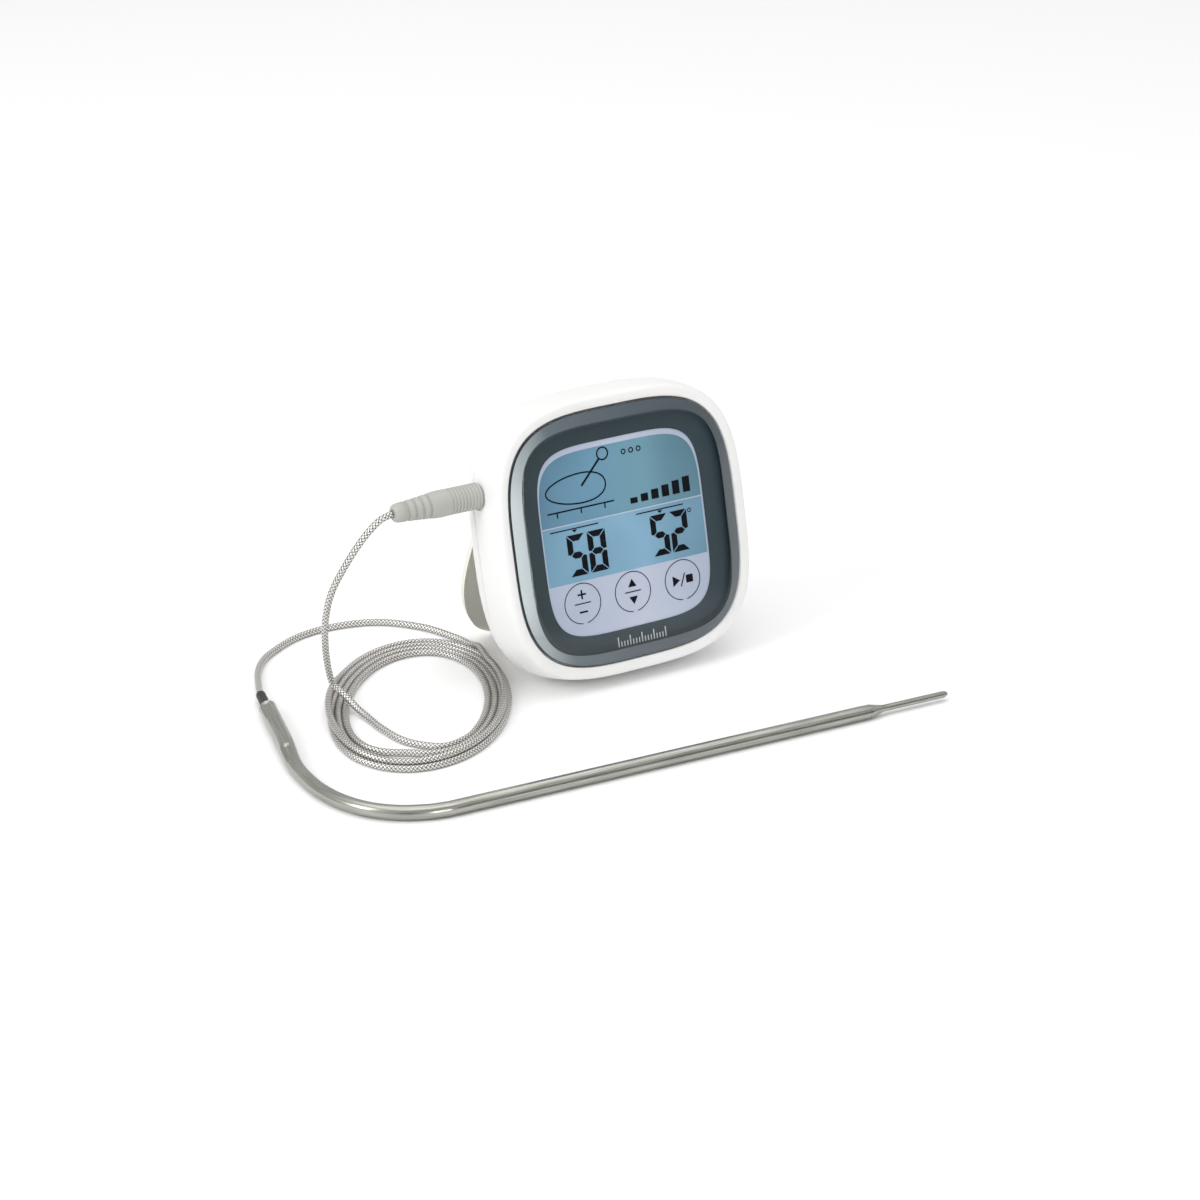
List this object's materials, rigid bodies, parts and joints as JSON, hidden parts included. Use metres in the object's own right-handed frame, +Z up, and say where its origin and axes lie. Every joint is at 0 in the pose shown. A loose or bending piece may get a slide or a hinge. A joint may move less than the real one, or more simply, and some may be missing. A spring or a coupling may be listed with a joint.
{
  "type": "meat thermometer",
  "caption": "Square tabletop probe thermometer with a touch display, fold-out rear stand, and a steel probe on a braided plug-in lead.",
  "frame": {"origin": "middle of the flat strip under the housing, on the table", "axes": "+Z up from the table, the display faces -Y, +X to the reader's right"},
  "size_m": [0.1759, 0.1296, 0.0794],
  "materials": {
    "housing_plastic": "satin white",
    "stand_plastic": "warm off-white, fine texture",
    "lens_acrylic": "clear acrylic printed dark behind",
    "display_glass": "backlit display",
    "black_plastic": "moulded black",
    "diffuser_plastic": "clear light guide",
    "circuit_board": "green solder mask",
    "chip_epoxy": "moulded epoxy",
    "cell_wrap": "printed wrap on a dry cell",
    "spring_steel": "plated steel",
    "plated_brass": "nickel plated",
    "insulator_plastic": "moulded black",
    "plug_plastic": "soft light grey moulding",
    "braided_steel": "fine stainless braid",
    "shrink_tube": "heat-shrink tube",
    "probe_steel": "polished stainless"
  },
  "bodies": {
    "housing": {"front_shell": "housing_plastic", "rear_shell": "housing_plastic", "lens": "lens_acrylic", "lcd_panel": "display_glass", "lcd_backlight": "diffuser_plastic", "lcd_holder": "black_plastic", "touch_board": "circuit_board", "touch_post_left": "spring_steel", "touch_post_middle": "spring_steel", "touch_post_right": "spring_steel", "main_board": "circuit_board", "control_chip": "chip_epoxy", "buzzer": "black_plastic", "jack_socket": "black_plastic", "battery_tray": "black_plastic", "battery_1": "cell_wrap", "battery_2": "cell_wrap", "battery_contact_left": "spring_steel", "battery_contact_right": "spring_steel", "stand_pin": "spring_steel", "screw_upper_left": "spring_steel", "screw_upper_right": "spring_steel", "screw_lower_left": "spring_steel", "screw_lower_right": "spring_steel"},
    "battery_door": {"battery_door": "housing_plastic"},
    "stand": {"stand": "stand_plastic"},
    "probe_lead": {"plug_grip": "plug_plastic", "plug_sleeve": "plated_brass", "plug_insulator": "insulator_plastic", "plug_tip": "plated_brass", "cord_plug_run": "braided_steel", "cord_coil": "braided_steel", "cord_probe_run": "braided_steel", "cord_collar": "shrink_tube", "crimp_sleeve": "probe_steel", "probe_shaft": "probe_steel", "probe_tip": "probe_steel"}
  },
  "joints": [
    {"name": "stand_hinge", "type": "hinge", "parent": "housing", "child": "stand", "pos_m": [0, 0.02093, 0.04465], "axis": [-1, 0, 0], "range_deg": [0, 38.3]},
    {"name": "battery_door_hinge", "type": "hinge", "parent": "housing", "child": "battery_door", "pos_m": [0, 0.02334, 0.04941], "axis": [-1, 0, 0], "range_deg": [0, 70]},
    {"name": "plug_slide", "type": "slide", "parent": "housing", "child": "probe_lead", "axis": [-1, 0, 0], "range_m": [0, 0.014]}
  ]
}
